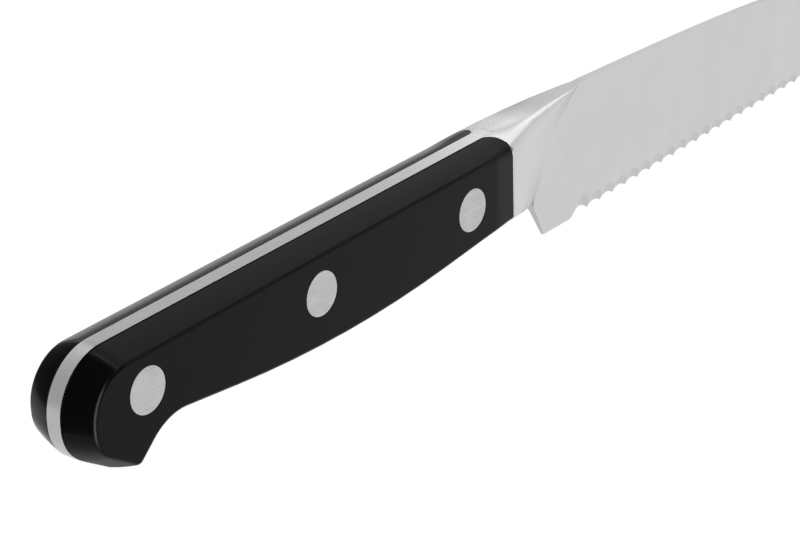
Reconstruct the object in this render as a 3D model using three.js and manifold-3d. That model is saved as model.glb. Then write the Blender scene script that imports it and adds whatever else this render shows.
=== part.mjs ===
// Bagel knife with a serrated blade, a forged bolster and a full tang between two riveted scales.
// Millimetres, +x to the tip, +z to the spine, the blade stands upright on its heel.
import * as THREE from "three";
import { mergeVertices } from "three/addons/utils/BufferGeometryUtils.js";
import Module from "manifold-3d";

// Driving dimensions. In the knife's own outline x = 0 is the back face of the bolster,
// y = 0 the middle plane and z = 0 the straight top of the handle, depths counting down from it.
const HANDLE_LENGTH = 97.8;
const BLADE_LENGTH = 130;
const TANG_THICKNESS = 2.45;

// Handle outline, as corners that are rounded afterwards
const BUTT_TOP_RADIUS = 8.7;
const BUTT_DEPTH = 13.4;
const BUTT_LOWER_RADIUS = 7.4;
const BEAK_FROM_BUTT = 9.8;
const BEAK_DEPTH = 19.75;
const BEAK_EDGE_RADIUS = 0.6;
const WAIST_FROM_BUTT = 16.3;
const WAIST_DEPTH = 14.15;
const WAIST_RADIUS = 7.4;
const BELLY_FROM_BOLSTER = 43;
const BELLY_DEPTH = 19;
const BELLY_RADIUS = 230;
const THROAT_X = 2;
const THROAT_DEPTH = 14.95;
const THROAT_RADIUS = 25;

// Handle section: flat sides under a shallow roof that falls away from the tang
const BUTT_WIDTH = 12.1;
const BAND_WIDTH = 11.3;
const BAND_LENGTH = 4.5;
const BOLSTER_WIDTH = 10.8;
const ROOF_ANGLE = THREE.MathUtils.degToRad(18.5);
const SCALE_EDGE_RADIUS = 0.5;
const BOLSTER_EDGE_RADIUS = 1.9;
const BOLSTER_LOWER_RADIUS = 1.6;
const EDGE_BLEND_LENGTH = 9;

// Bolster, plunge line and heel
const PLUNGE_TOP_X = 23.4;
const PLUNGE_BOTTOM_X = 12.6;
const PLUNGE_RUNOUT = 4;
const RUNOUT_DEPTH = 5;
const NOTCH_X = 11.8;
const NOTCH_DEPTH = 17.15;
const NOTCH_RADIUS = 0.8;
const FLARE_POWER = 0.95;
const ROOF_FADE_LENGTH = 8;
const TANG_FILLET = 3;
const HEEL_BOW_X = 13.5;
const HEEL_BOW_DEPTH = 19.8;
const HEEL_BOW_RADIUS = 40;
const HEEL_X = 15.6;
const HEEL_DEPTH = 23.75;
const HEEL_RADIUS = 0.5;
const HEEL_FLAT_LENGTH = 7.6;
const HEEL_END_DEPTH = 23.85;

// Blade
const SPINE_THICKNESS = 1.85;
const TIP_THICKNESS = 0.9;
const EDGE_THICKNESS = 0.45;
const SPINE_STRAIGHT_X = 27.5;
const SPINE_FALL_ANGLE = THREE.MathUtils.degToRad(2.65);
const SPINE_FALL_REACH = 50;
const SPINE_TURN_BACK = 15;
const SPINE_TURN_DEPTH = 4.1;
const SPINE_EDGE_RADIUS = 0.25;
const EDGE_DEPTH = 23.8;
const TIP_RISE = 3.2;
const TIP_RISE_LENGTH = 38;
const TIP_HEIGHT = 0.7;

// Serrations, ground into the right face only
const FIRST_TOOTH_FROM_HEEL = 13.6;
const TOOTH_PITCH = 3.93;
const SCALLOP_DEPTH = 0.7;
const FIRST_VALLEY_FROM_HEEL = 11.1;
const FIRST_SCALLOP_DEPTH = 1.15;
const SCALLOP_ANGLE = THREE.MathUtils.degToRad(14);
const EDGE_LAND = 0.06;
const PLAIN_TIP_LENGTH = 2.5;

// Two-piece rivets: a stud pressed into a tube, both with heads ground flush
const RIVET_HEAD_DIAMETER = 7;
const RIVET_HEAD_THICKNESS = 1.6;
const TUBE_DIAMETER = 4.8;
const STUD_DIAMETER = 3.2;
const FRONT_RIVET_FROM_BOLSTER = 11.3;
const REAR_RIVET_FROM_BUTT = 12.1;
const FRONT_RIVET_DEPTH = 8.2;
const REAR_RIVET_DEPTH = 7.25;

// Clearances
const SEAM = 0.05;
const RIVET_CLEARANCE = 0.04;
const TANG_HOLE_CLEARANCE = 0.2;
const FLUSH_DROP = 0.03;
const STUD_END_GAP = 0.3;

// Smoothness
const CORNER_STEP = THREE.MathUtils.degToRad(9);
const CORNER_STEPS = 3;
const BELLY_STEPS = 10;
const EDGE_STEPS = 4;
const BLEND_STEPS = 6;
const SIDE_STEPS = 7;
const FILLET_STEPS = 6;
const BOLSTER_STEPS = 26;
const ROUND_SIDES = 32;
const SCALLOP_STEPS = 6;

// Shares that keep small roundings inside the section they round
const EDGE_SHARE_OF_TOP = 0.45;
const EDGE_SHARE_OF_SIDE = 0.2;
const TOP_SHARE = 0.6;
const FACET_SHARE = 0.6;
const SHARP_RADIUS = 0.02;
const FILLET_SHARE = 0.75;
const RUNOUT_SHARES = [0.2, 0.4, 0.7, 1];

// Values that follow from the sizes above
const HALF_TANG = TANG_THICKNESS / 2;
const ROOF_SLOPE = Math.tan(ROOF_ANGLE);
const TIP_X = HEEL_X + BLADE_LENGTH;
const TIP_DEPTH = EDGE_DEPTH - TIP_RISE;
const HEEL_END_X = HEEL_X + HEEL_FLAT_LENGTH;
const FIRST_TOOTH_X = HEEL_X + FIRST_TOOTH_FROM_HEEL;
const FIRST_VALLEY_X = HEEL_X + FIRST_VALLEY_FROM_HEEL;
const SIDE_TAPER = (BUTT_WIDTH - BAND_WIDTH) / 2 / (HANDLE_LENGTH - BAND_LENGTH);
const BAND_TAPER = (BAND_WIDTH - BOLSTER_WIDTH) / 2 / BAND_LENGTH;

const wasm = await Module();
wasm.setup();

// Solids for joining and cutting
function toSolid(geometry) {
  const bare = geometry.clone();
  bare.deleteAttribute("normal");
  bare.deleteAttribute("uv");
  const merged = mergeVertices(bare, 1e-4);
  return new wasm.Manifold(
    new wasm.Mesh({
      numProp: 3,
      vertProperties: new Float32Array(merged.attributes.position.array),
      triVerts: new Uint32Array(merged.index.array),
    }),
  );
}

function toGeometry(solid) {
  const mesh = solid.getMesh();
  const geometry = new THREE.BufferGeometry();
  geometry.setAttribute("position", new THREE.BufferAttribute(mesh.vertProperties, 3));
  geometry.setIndex(new THREE.BufferAttribute(mesh.triVerts, 1));
  geometry.computeVertexNormals();
  return geometry;
}

// Rounds a chain of corners { x, z, radius } with tangent arcs. A radius that the edges
// beside it have no room for is reduced to fit. The two end corners stay as they are.
function roundedChain(corners) {
  const at = corners.map((corner) => new THREE.Vector2(corner.x, corner.z));
  const edges = at.slice(1).map((point, i) => point.clone().sub(at[i]));
  const turns = corners.map((corner, i) => {
    if (i === 0 || i === corners.length - 1) return 0;
    return Math.atan2(edges[i - 1].cross(edges[i]), edges[i - 1].dot(edges[i]));
  });
  const reach = corners.map((corner, i) => (corner.radius ?? 0) * Math.tan(Math.abs(turns[i]) / 2));
  const room = edges.map((edge, i) => edge.length() / Math.max(reach[i] + reach[i + 1], edge.length()));
  const points = [at[0]];
  for (let i = 1; i < corners.length - 1; i++) {
    const tangent = reach[i] * Math.min(room[i - 1], room[i]);
    const radius = tangent / Math.tan(Math.abs(turns[i]) / 2);
    const start = at[i].clone().addScaledVector(edges[i - 1].clone().normalize(), -tangent);
    const side = Math.sign(turns[i]);
    const heading = edges[i - 1].angle() - (side * Math.PI) / 2;
    const centre = new THREE.Vector2(radius * Math.cos(heading), radius * Math.sin(heading));
    centre.subVectors(start, centre);
    const steps = Math.max(Math.ceil(Math.abs(turns[i]) / CORNER_STEP), corners[i].steps ?? CORNER_STEPS);
    for (let k = 0; k <= steps; k++) {
      const angle = heading + (turns[i] * k) / steps;
      points.push(new THREE.Vector2(centre.x + radius * Math.cos(angle), centre.y + radius * Math.sin(angle)));
    }
  }
  points.push(at.at(-1));
  return points.filter((point, i) => i === 0 || point.distanceTo(points[i - 1]) > 1e-3);
}

// Half-width of the handle's flat side, which narrows forward and a little more in the last band
function sideHalfWidth(x) {
  return BAND_WIDTH / 2 - SIDE_TAPER * (x + BAND_LENGTH);
}

function bandHalfWidth(x) {
  return BAND_WIDTH / 2 - BAND_TAPER * (x + BAND_LENGTH);
}

// The upper crease between roof and side softens towards the bolster
function edgeRadius(point) {
  if (point.y < -THROAT_DEPTH / 2) return SCALE_EDGE_RADIUS;
  const blend = THREE.MathUtils.smoothstep(point.x, -EDGE_BLEND_LENGTH, 0);
  return THREE.MathUtils.lerp(SCALE_EDGE_RADIUS, BOLSTER_EDGE_RADIUS, blend);
}

// Handle outline at the tang, from the throat back along the belly, round the butt and to the top front
const beakInset = (BUTT_WIDTH / 2 - HALF_TANG) * ROOF_SLOPE + SCALE_EDGE_RADIUS;
const throat = { x: THROAT_X, z: -THROAT_DEPTH, radius: THROAT_RADIUS };
const handleCorners = [
  { x: -BELLY_FROM_BOLSTER, z: -BELLY_DEPTH, radius: BELLY_RADIUS, steps: BELLY_STEPS },
  { x: WAIST_FROM_BUTT - HANDLE_LENGTH, z: -WAIST_DEPTH, radius: WAIST_RADIUS },
  { x: BEAK_FROM_BUTT - HANDLE_LENGTH, z: -BEAK_DEPTH, radius: BEAK_EDGE_RADIUS + beakInset },
  { x: -HANDLE_LENGTH, z: -BUTT_DEPTH, radius: BUTT_LOWER_RADIUS },
  { x: -HANDLE_LENGTH, z: 0, radius: BUTT_TOP_RADIUS },
];
const notch = { x: NOTCH_X, z: -NOTCH_DEPTH, radius: NOTCH_RADIUS };
const handleOutline = roundedChain([notch, throat, ...handleCorners, { x: NOTCH_X, z: 0 }]);

// Lower outline of the bolster and heel, read as a depth at any x
const heelOutline = roundedChain([
  handleCorners[0],
  throat,
  notch,
  { x: HEEL_BOW_X, z: -HEEL_BOW_DEPTH, radius: HEEL_BOW_RADIUS },
  { x: HEEL_X, z: -HEEL_DEPTH, radius: HEEL_RADIUS },
  { x: HEEL_END_X, z: -HEEL_END_DEPTH },
]);

function heightOn(points, x) {
  const i = THREE.MathUtils.clamp(points.findIndex((point) => point.x >= x), 1, points.length - 1);
  const t = (x - points[i - 1].x) / (points[i].x - points[i - 1].x);
  return THREE.MathUtils.lerp(points[i - 1].y, points[i].y, t);
}

// Spine: straight over the bolster, then one long curve down to the tip
const spineCurve = new THREE.CubicBezierCurve(
  new THREE.Vector2(SPINE_STRAIGHT_X, 0),
  new THREE.Vector2(SPINE_STRAIGHT_X + SPINE_FALL_REACH, -SPINE_FALL_REACH * Math.tan(SPINE_FALL_ANGLE)),
  new THREE.Vector2(TIP_X - SPINE_TURN_BACK, -SPINE_TURN_DEPTH),
  new THREE.Vector2(TIP_X, TIP_HEIGHT - TIP_DEPTH),
);

function spineHeight(x) {
  if (x <= SPINE_STRAIGHT_X) return 0;
  let low = 0;
  let high = 1;
  for (let k = 0; k < 40; k++) {
    const middle = (low + high) / 2;
    if (spineCurve.getPoint(middle).x < x) low = middle;
    else high = middle;
  }
  return spineCurve.getPoint(high).y;
}

// Line through the tooth points, which rises to the tip
function toothLine(x) {
  const rise = Math.max(0, (x - TIP_X + TIP_RISE_LENGTH) / TIP_RISE_LENGTH);
  return -EDGE_DEPTH + TIP_RISE * rise * rise;
}

// Half-thickness of the flat-ground blade, and of the bolster that flares out of it behind the plunge line
function bladeHalfThickness(x, z) {
  const along = THREE.MathUtils.clamp((x - HEEL_X) / BLADE_LENGTH, 0, 1);
  const spine = THREE.MathUtils.lerp(SPINE_THICKNESS, TIP_THICKNESS, along) / 2;
  const height = THREE.MathUtils.clamp((z - toothLine(x)) / (spineHeight(x) - toothLine(x)), 0, 1);
  return THREE.MathUtils.lerp(EDGE_THICKNESS / 2, spine, height);
}

function plungeX(z) {
  const straight = PLUNGE_TOP_X + (z / NOTCH_DEPTH) * (PLUNGE_TOP_X - PLUNGE_BOTTOM_X);
  return straight + PLUNGE_RUNOUT * Math.max(0, 1 + z / RUNOUT_DEPTH) ** 2;
}

function bolsterHalfWidth(x, z) {
  const blade = bladeHalfThickness(x, z);
  const plunge = plungeX(z);
  if (x >= plunge) return blade;
  return blade + (BOLSTER_WIDTH / 2 - blade) * ((plunge - x) / plunge) ** FLARE_POWER;
}

// One side of a cross-section, from the top down: flat over the tang, roof, rounded edge, side, and
// the same below. halfWidth gives the side at each height, and the two radii round the edges.
function halfSection(x, halfWidth, roof, topRadius, bottomRadius) {
  const slope = Math.tan(roof);
  const top = spineHeight(x);
  const bottom = heightOn(heelOutline, x);
  const middle = (top + bottom) / 2;
  const edge = (end, inward, radius) => {
    let y = halfWidth(end);
    for (let k = 0; k < 20; k++) y = halfWidth(end + inward * Math.max(0, y - HALF_TANG) * slope);
    const roofed = y > HALF_TANG;
    const run = roofed ? HALF_TANG + (y - HALF_TANG) / Math.cos(roof) : y;
    const corner = new THREE.Vector2(y, end + inward * Math.max(0, y - HALF_TANG) * slope);
    const back = Math.min(
      radius * Math.tan(Math.PI / 4 - roof / 2),
      EDGE_SHARE_OF_TOP * run,
      EDGE_SHARE_OF_SIDE * Math.abs(middle - corner.y),
    );
    const onRoof = (s) =>
      s <= HALF_TANG
        ? new THREE.Vector2(s, end)
        : new THREE.Vector2(
            HALF_TANG + (s - HALF_TANG) * Math.cos(roof),
            end + inward * (s - HALF_TANG) * Math.sin(roof),
          );
    const start = onRoof(run - back);
    const stop = new THREE.Vector2(halfWidth(corner.y + inward * back), corner.y + inward * back);
    const arc = new THREE.QuadraticBezierCurve(start, corner, stop).getPoints(EDGE_STEPS);
    return [onRoof(Math.min(HALF_TANG, TOP_SHARE * (run - back))), ...arc];
  };
  const upper = edge(top, -1, topRadius);
  const lower = edge(bottom, 1, bottomRadius);
  const from = upper.at(-1).y;
  const to = lower.at(-1).y;
  const side = Array.from({ length: SIDE_STEPS - 1 }, (unused, k) => {
    const z = THREE.MathUtils.lerp(from, to, (k + 1) / SIDE_STEPS);
    return new THREE.Vector2(halfWidth(z), z);
  });
  return [...upper, ...side, ...lower.reverse()];
}

// A closed ring at x: down the right side and up the left
function mirroredRing(x, half) {
  const right = half.map((point) => new THREE.Vector3(x, -point.x, point.y));
  const left = half.map((point) => new THREE.Vector3(x, point.x, point.y)).reverse();
  return [...right, ...left];
}

// Joins rings into a skin. Rings of unlike counts are zipped by their distance round the ring.
function ringShares(ring, even) {
  if (even) return ring.map((point, i) => i / ring.length);
  const lengths = ring.map((point, i) => point.distanceTo(ring[(i + 1) % ring.length]));
  const total = lengths.reduce((sum, length) => sum + length, 0);
  let run = 0;
  return lengths.map((length) => {
    const share = run / total;
    run += length;
    return share;
  });
}

function skin(rings, capTriangles) {
  const points = rings.flat();
  const index = [];
  let first = 0;
  for (let r = 0; r < rings.length - 1; r++) {
    const [a, b] = [rings[r], rings[r + 1]];
    const even = a.length === b.length;
    const [shareA, shareB] = [[...ringShares(a, even), 1], [...ringShares(b, even), 1]];
    let i = 0;
    let j = 0;
    while (i < a.length || j < b.length) {
      const ai = first + (i % a.length);
      const bj = first + a.length + (j % b.length);
      if (j >= b.length || (i < a.length && shareA[i + 1] <= shareB[j + 1])) {
        index.push(ai, first + ((i + 1) % a.length), bj);
        i++;
      } else {
        index.push(ai, first + a.length + ((j + 1) % b.length), bj);
        j++;
      }
    }
    first += a.length;
  }
  for (const [a, b, c] of capTriangles(rings[0])) index.push(a, c, b);
  for (const [a, b, c] of capTriangles(rings.at(-1))) index.push(first + a, first + b, first + c);
  const geometry = new THREE.BufferGeometry();
  geometry.setAttribute("position", new THREE.Float32BufferAttribute(points.flatMap((p) => p.toArray()), 3));
  geometry.setIndex(index);
  return geometry;
}

// Triangles that fill a flat contour, wound the same way as the contour
function fill(contour) {
  const { area, triangulateShape } = THREE.ShapeUtils;
  const triangles = triangulateShape(contour, []);
  const filled = triangles.reduce((sum, corners) => sum + area(corners.map((i) => contour[i])), 0);
  if (Math.sign(filled) === Math.sign(area(contour))) return triangles;
  return triangles.map((corners) => corners.reverse());
}

function sectionCap(ring) {
  return fill(ring.map((point) => new THREE.Vector2(point.y, point.z)));
}

// Extrudes an outline in x and z to a plate of the given thickness about the middle plane
const PLATE_TURN = new THREE.Matrix4().makeBasis(
  new THREE.Vector3(1, 0, 0),
  new THREE.Vector3(0, 0, 1),
  new THREE.Vector3(0, -1, 0),
);

function plate(outline, holes, thickness) {
  const shape = new THREE.Shape(outline);
  shape.holes = holes.map((hole) => new THREE.Path(hole));
  const geometry = new THREE.ExtrudeGeometry(shape, { depth: thickness, bevelEnabled: false });
  return geometry.translate(0, 0, -thickness / 2).applyMatrix4(PLATE_TURN);
}

// Rivet places, evenly spaced between the front and the rear one
const rivets = ["front", "middle", "rear"].map((name, i) => ({
  name,
  x: THREE.MathUtils.lerp(-FRONT_RIVET_FROM_BOLSTER, REAR_RIVET_FROM_BUTT - HANDLE_LENGTH, i / 2),
  z: -THREE.MathUtils.lerp(FRONT_RIVET_DEPTH, REAR_RIVET_DEPTH, i / 2),
}));

function roundHole(rivet, radius) {
  return Array.from({ length: ROUND_SIDES }, (unused, k) => {
    const angle = (2 * Math.PI * k) / ROUND_SIDES;
    return new THREE.Vector2(rivet.x + radius * Math.cos(angle), rivet.z + radius * Math.sin(angle));
  });
}

// Forging: bolster rings from the fillet at the tang to the end of the plain heel
function filletHalfWidth(x) {
  return HALF_TANG + TANG_FILLET - Math.sqrt(TANG_FILLET ** 2 - (x + TANG_FILLET) ** 2);
}

const filletRings = Array.from({ length: FILLET_STEPS + 1 }, (unused, k) => {
  const angle = (Math.PI / 2) * THREE.MathUtils.lerp(1 - FILLET_SHARE, 1, k / FILLET_STEPS);
  const x = TANG_FILLET * (Math.sin(angle) - 1);
  return mirroredRing(x, halfSection(x, () => filletHalfWidth(x), ROOF_ANGLE, SHARP_RADIUS, SHARP_RADIUS));
});

const bolsterRings = Array.from({ length: BOLSTER_STEPS + 1 }, (unused, k) => {
  const x = (HEEL_END_X * k) / BOLSTER_STEPS;
  const fade = Math.min(1, x / ROOF_FADE_LENGTH);
  const roof = ROOF_ANGLE * (1 - fade);
  const topRadius = THREE.MathUtils.lerp(BOLSTER_EDGE_RADIUS, SPINE_EDGE_RADIUS, (x / HEEL_END_X) ** 2);
  const bottomRadius = THREE.MathUtils.lerp(SCALE_EDGE_RADIUS, BOLSTER_LOWER_RADIUS, fade);
  return mirroredRing(x, halfSection(x, (z) => bolsterHalfWidth(x, z), roof, topRadius, bottomRadius));
});

// Edge stations: the step up from the heel, then the scallops between tooth points, then the plain tip
const toothCount = Math.floor((TIP_X - PLAIN_TIP_LENGTH - FIRST_TOOTH_X) / TOOTH_PITCH);
const lastToothX = FIRST_TOOTH_X + toothCount * TOOTH_PITCH;

function edgeStations() {
  const stations = [];
  const add = (x, z, ground) => stations.push({ x, z, ground });
  const valley = toothLine(FIRST_VALLEY_X) + FIRST_SCALLOP_DEPTH;
  for (let k = 1; k <= SCALLOP_STEPS; k++) {
    const share = k / SCALLOP_STEPS;
    const rise = THREE.MathUtils.smoothstep(share, 0, 1);
    const x = THREE.MathUtils.lerp(HEEL_END_X, FIRST_VALLEY_X, share);
    add(x, THREE.MathUtils.lerp(-HEEL_END_DEPTH, valley, rise), share);
  }
  for (let k = 1; k < SCALLOP_STEPS; k++) {
    const share = k / SCALLOP_STEPS;
    const x = THREE.MathUtils.lerp(FIRST_VALLEY_X, FIRST_TOOTH_X, share);
    add(x, toothLine(x) + FIRST_SCALLOP_DEPTH * (1 - share ** 2), 1);
  }
  for (let k = 0; k <= SCALLOP_STEPS * toothCount; k++) {
    const share = (k % SCALLOP_STEPS) / SCALLOP_STEPS;
    const x = FIRST_TOOTH_X + (k / SCALLOP_STEPS) * TOOTH_PITCH;
    add(x, toothLine(x) + SCALLOP_DEPTH * (1 - (2 * share - 1) ** 2), 1);
  }
  for (const share of [0.5, 1]) {
    const x = THREE.MathUtils.lerp(lastToothX, TIP_X, share);
    add(x, toothLine(x), 1);
  }
  return stations;
}

// The scallops cut across the right face at a shallow angle and leave the left face flat to the edge.
// Where the bolster runs out along the spine each face has points between spine and edge.
const bladeRings = edgeStations().map(({ x, z, ground }) => {
  const top = spineHeight(x);
  const spine = bolsterHalfWidth(x, top);
  const chamfer = Math.min(SPINE_EDGE_RADIUS, spine / 3, (top - z) / 4);
  const edge = bladeHalfThickness(x, z);
  const land = THREE.MathUtils.lerp(2 * edge, EDGE_LAND, ground);
  const facet = Math.min((2 * edge - land) / Math.tan(SCALLOP_ANGLE), FACET_SHARE * (top - z)) + EDGE_LAND;
  const face = bladeHalfThickness(x, z + facet);
  const runout = x < plungeX(0) ? RUNOUT_SHARES.map((share) => top - share * RUNOUT_DEPTH) : [];
  const faceAt = (height) => new THREE.Vector3(x, bolsterHalfWidth(x, height), height);
  const left = [
    new THREE.Vector3(x, spine - chamfer, top),
    faceAt(top - chamfer),
    ...runout.map(faceAt),
    new THREE.Vector3(x, face, z + facet),
  ];
  const right = left.map((point) => new THREE.Vector3(x, -point.y, point.z));
  const edgePoints = [new THREE.Vector3(x, edge - land, z), new THREE.Vector3(x, edge, z)];
  return [...right, ...edgePoints, ...left.reverse()];
});

function makeForging() {
  const body = skin([...filletRings, ...bolsterRings, ...bladeRings], sectionCap);
  const tangEnd = -TANG_FILLET / 4;
  const behind = handleOutline.filter((point) => point.x < tangEnd);
  const outline = [
    new THREE.Vector2(tangEnd, heightOn(heelOutline, tangEnd)),
    ...behind,
    new THREE.Vector2(tangEnd, 0),
  ];
  const holes = rivets.map((rivet) => roundHole(rivet, TUBE_DIAMETER / 2 + TANG_HOLE_CLEARANCE));
  const tang = plate(outline, holes, TANG_THICKNESS);
  return toGeometry(toSolid(body).add(toSolid(tang)));
}

// Scale: nested outlines from the tang face over the roof and the rounded crease to the flat side
function splitAt(points, x) {
  const out = [];
  points.forEach((point, i) => {
    const next = points[(i + 1) % points.length];
    out.push(point);
    const share = (x - point.x) / (next.x - point.x);
    if (share > 1e-3 && share < 1 - 1e-3) out.push(point.clone().lerp(next, share));
  });
  return out;
}

function inwardNormals(points) {
  return points.map((point, i) => {
    const before = points.at(i - 1);
    const after = points[(i + 1) % points.length];
    const u = point.clone().sub(before).normalize();
    const v = after.clone().sub(point).normalize();
    const along = u.clone().add(v).normalize();
    return new THREE.Vector2(along.y, -along.x).divideScalar(along.dot(u));
  });
}

function makeScale(side) {
  let outline = splitAt(handleOutline, -BAND_LENGTH);
  for (let k = 0; k <= BLEND_STEPS; k++) outline = splitAt(outline, (-EDGE_BLEND_LENGTH * k) / BLEND_STEPS);
  const normals = inwardNormals(outline);
  const inBand = outline.map((point) => point.x > -BAND_LENGTH + 1e-6);
  const ringAt = (profile) =>
    outline.map((point, i) => {
      const widthAt = inBand[i] ? bandHalfWidth : sideHalfWidth;
      const { inset, y } = profile(point, widthAt(point.x));
      const at = point.clone().addScaledVector(normals[i], inset);
      return new THREE.Vector3(at.x, y ?? widthAt(at.x), at.y);
    });
  const edgeAt = (point, width, t) => {
    const back = edgeRadius(point) * Math.tan(Math.PI / 4 - ROOF_ANGLE / 2);
    const crease = (width - HALF_TANG) * ROOF_SLOPE;
    const start = new THREE.Vector2(crease - back * Math.sin(ROOF_ANGLE), width - back * Math.cos(ROOF_ANGLE));
    const stop = new THREE.Vector2(crease + back, width);
    return new THREE.QuadraticBezierCurve(start, new THREE.Vector2(crease, width), stop).getPoint(t);
  };
  const arcRing = (t) =>
    ringAt((point, width) => {
      const at = edgeAt(point, width, t);
      return { inset: at.x, y: at.y };
    });
  const rings = [
    ringAt(() => ({ inset: SEAM * ROOF_SLOPE, y: HALF_TANG + SEAM })),
    ...Array.from({ length: EDGE_STEPS }, (unused, k) => arcRing(k / EDGE_STEPS)),
    ringAt((point, width) => ({ inset: edgeAt(point, width, 1).x })),
  ];
  const cap = (ring) => {
    const flat = ring.map((point) => new THREE.Vector2(point.x, point.z));
    const whole = flat.map((point, i) => i);
    const onBend = whole.filter((i) => Math.abs(outline[i].x + BAND_LENGTH) < 1e-6);
    const pieces = [whole.filter((i) => !inBand[i]), whole.filter((i) => inBand[i] || onBend.includes(i))];
    return pieces.flatMap((piece) =>
      fill(piece.map((i) => flat[i])).map((corners) => corners.map((k) => piece[k])),
    );
  };
  let solid = toSolid(skin(rings, cap));
  solid = solid.subtract(toSolid(frontCutter()));
  for (const rivet of rivets) solid = solid.subtract(toSolid(rivetHole(rivet)));
  const geometry = toGeometry(solid);
  if (side > 0) return geometry;
  geometry.scale(1, -1, 1);
  const index = geometry.index.array;
  for (let i = 0; i < index.length; i += 3) [index[i], index[i + 1]] = [index[i + 1], index[i]];
  geometry.computeVertexNormals();
  return geometry;
}

// Space of the bolster's back face and tang fillet, a seam wider than the forging
function frontCutter() {
  const reach = NOTCH_X + TANG_FILLET;
  const steps = Array.from({ length: 2 * FILLET_STEPS + 1 }, (unused, k) => {
    const angle = (Math.PI / 2) * (k / (2 * FILLET_STEPS));
    return new THREE.Vector2(
      TANG_FILLET * (Math.sin(angle) - 1) - SEAM * Math.sin(angle),
      HALF_TANG + SEAM + TANG_FILLET * (1 - Math.cos(angle)) + SEAM * (Math.cos(angle) - 1),
    );
  });
  const shape = new THREE.Shape([
    new THREE.Vector2(reach, -BUTT_WIDTH),
    new THREE.Vector2(reach, BUTT_WIDTH),
    new THREE.Vector2(-SEAM, BUTT_WIDTH),
    ...steps.reverse(),
    new THREE.Vector2(-TANG_FILLET, -BUTT_WIDTH),
  ]);
  const depth = 2 * BEAK_DEPTH;
  return new THREE.ExtrudeGeometry(shape, { depth, bevelEnabled: false }).translate(0, 0, -1.5 * BEAK_DEPTH);
}

// Stepped hole for the tube and the sunk head, on the left side
function rivetHole(rivet) {
  const tube = TUBE_DIAMETER / 2 + RIVET_CLEARANCE;
  const head = RIVET_HEAD_DIAMETER / 2 + RIVET_CLEARANCE;
  const seat = headFace(rivet) - RIVET_HEAD_THICKNESS - RIVET_CLEARANCE;
  return turned(rivet, [
    [0, 0],
    [tube, 0],
    [tube, seat],
    [head, seat],
    [head, BUTT_WIDTH],
    [0, BUTT_WIDTH],
  ]);
}

function headFace(rivet) {
  return sideHalfWidth(rivet.x + RIVET_HEAD_DIAMETER / 2) - FLUSH_DROP;
}

// Turns a profile of radius and y about the rivet's axis
function turned(rivet, profile) {
  const points = profile.map(([radius, y]) => new THREE.Vector2(radius, y));
  return new THREE.LatheGeometry(points, ROUND_SIDES).translate(rivet.x, 0, rivet.z);
}

function makeTube(rivet) {
  const face = headFace(rivet);
  const seat = face - RIVET_HEAD_THICKNESS;
  const bore = STUD_DIAMETER / 2 + RIVET_CLEARANCE;
  const mouth = STUD_END_GAP - seat;
  return turned(rivet, [
    [0, seat],
    [bore, seat],
    [bore, mouth],
    [TUBE_DIAMETER / 2, mouth],
    [TUBE_DIAMETER / 2, seat],
    [RIVET_HEAD_DIAMETER / 2, seat],
    [RIVET_HEAD_DIAMETER / 2, face],
    [0, face],
  ]);
}

function makeStud(rivet) {
  const face = headFace(rivet);
  const seat = face - RIVET_HEAD_THICKNESS;
  return turned(rivet, [
    [0, -face],
    [RIVET_HEAD_DIAMETER / 2, -face],
    [RIVET_HEAD_DIAMETER / 2, -seat],
    [STUD_DIAMETER / 2, -seat],
    [STUD_DIAMETER / 2, seat - STUD_END_GAP],
    [0, seat - STUD_END_GAP],
  ]);
}

// Finishes
const bladeSteel = () => new THREE.MeshStandardMaterial({ color: 0xc9c9c7, roughness: 0.32, metalness: 1 });
const rivetSteel = () => new THREE.MeshStandardMaterial({ color: 0xbdbdbb, roughness: 0.36, metalness: 1 });
const blackPolymer = () => new THREE.MeshStandardMaterial({ color: 0x1d1d1e, roughness: 0.42, metalness: 0 });

const knife = new THREE.Group();
knife.position.set((HANDLE_LENGTH - TIP_X) / 2, 0, HEEL_END_DEPTH);

function addPiece(name, geometry, material) {
  const mesh = new THREE.Mesh(geometry, material);
  mesh.name = name;
  knife.add(mesh);
}

addPiece("blade_forging", makeForging(), bladeSteel());
addPiece("right_scale", makeScale(-1), blackPolymer());
addPiece("left_scale", makeScale(1), blackPolymer());
for (const rivet of rivets) {
  addPiece(`${rivet.name}_rivet_tube`, makeTube(rivet), rivetSteel());
  addPiece(`${rivet.name}_rivet_stud`, makeStud(rivet), rivetSteel());
}

const part = new THREE.Group();
part.add(knife);
export default part;
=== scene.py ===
import math

import bpy
import numpy as np
from mathutils import Matrix, Vector


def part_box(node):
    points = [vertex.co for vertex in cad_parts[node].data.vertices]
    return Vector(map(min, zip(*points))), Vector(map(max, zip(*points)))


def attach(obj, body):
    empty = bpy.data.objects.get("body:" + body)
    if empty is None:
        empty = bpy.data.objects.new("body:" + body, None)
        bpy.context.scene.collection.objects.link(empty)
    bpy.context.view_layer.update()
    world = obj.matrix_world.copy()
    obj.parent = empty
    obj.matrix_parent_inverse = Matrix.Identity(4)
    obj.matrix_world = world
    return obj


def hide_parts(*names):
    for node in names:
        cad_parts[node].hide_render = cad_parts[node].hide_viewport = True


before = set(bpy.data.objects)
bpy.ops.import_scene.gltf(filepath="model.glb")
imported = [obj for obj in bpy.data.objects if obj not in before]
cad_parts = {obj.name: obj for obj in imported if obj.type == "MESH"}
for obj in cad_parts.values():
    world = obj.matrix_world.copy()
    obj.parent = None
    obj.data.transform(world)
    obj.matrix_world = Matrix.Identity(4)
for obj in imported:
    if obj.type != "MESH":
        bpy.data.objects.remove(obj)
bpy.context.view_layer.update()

# Blade, bolster and full tang: one drop-forged piece of stainless steel, flat-ground and satin finished.
# The tang runs between the scales to the butt, and the serrations are ground into the right face only.
MM = 0.001
HAIR = 1e-6
HANDLE_LENGTH = 97.8
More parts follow.
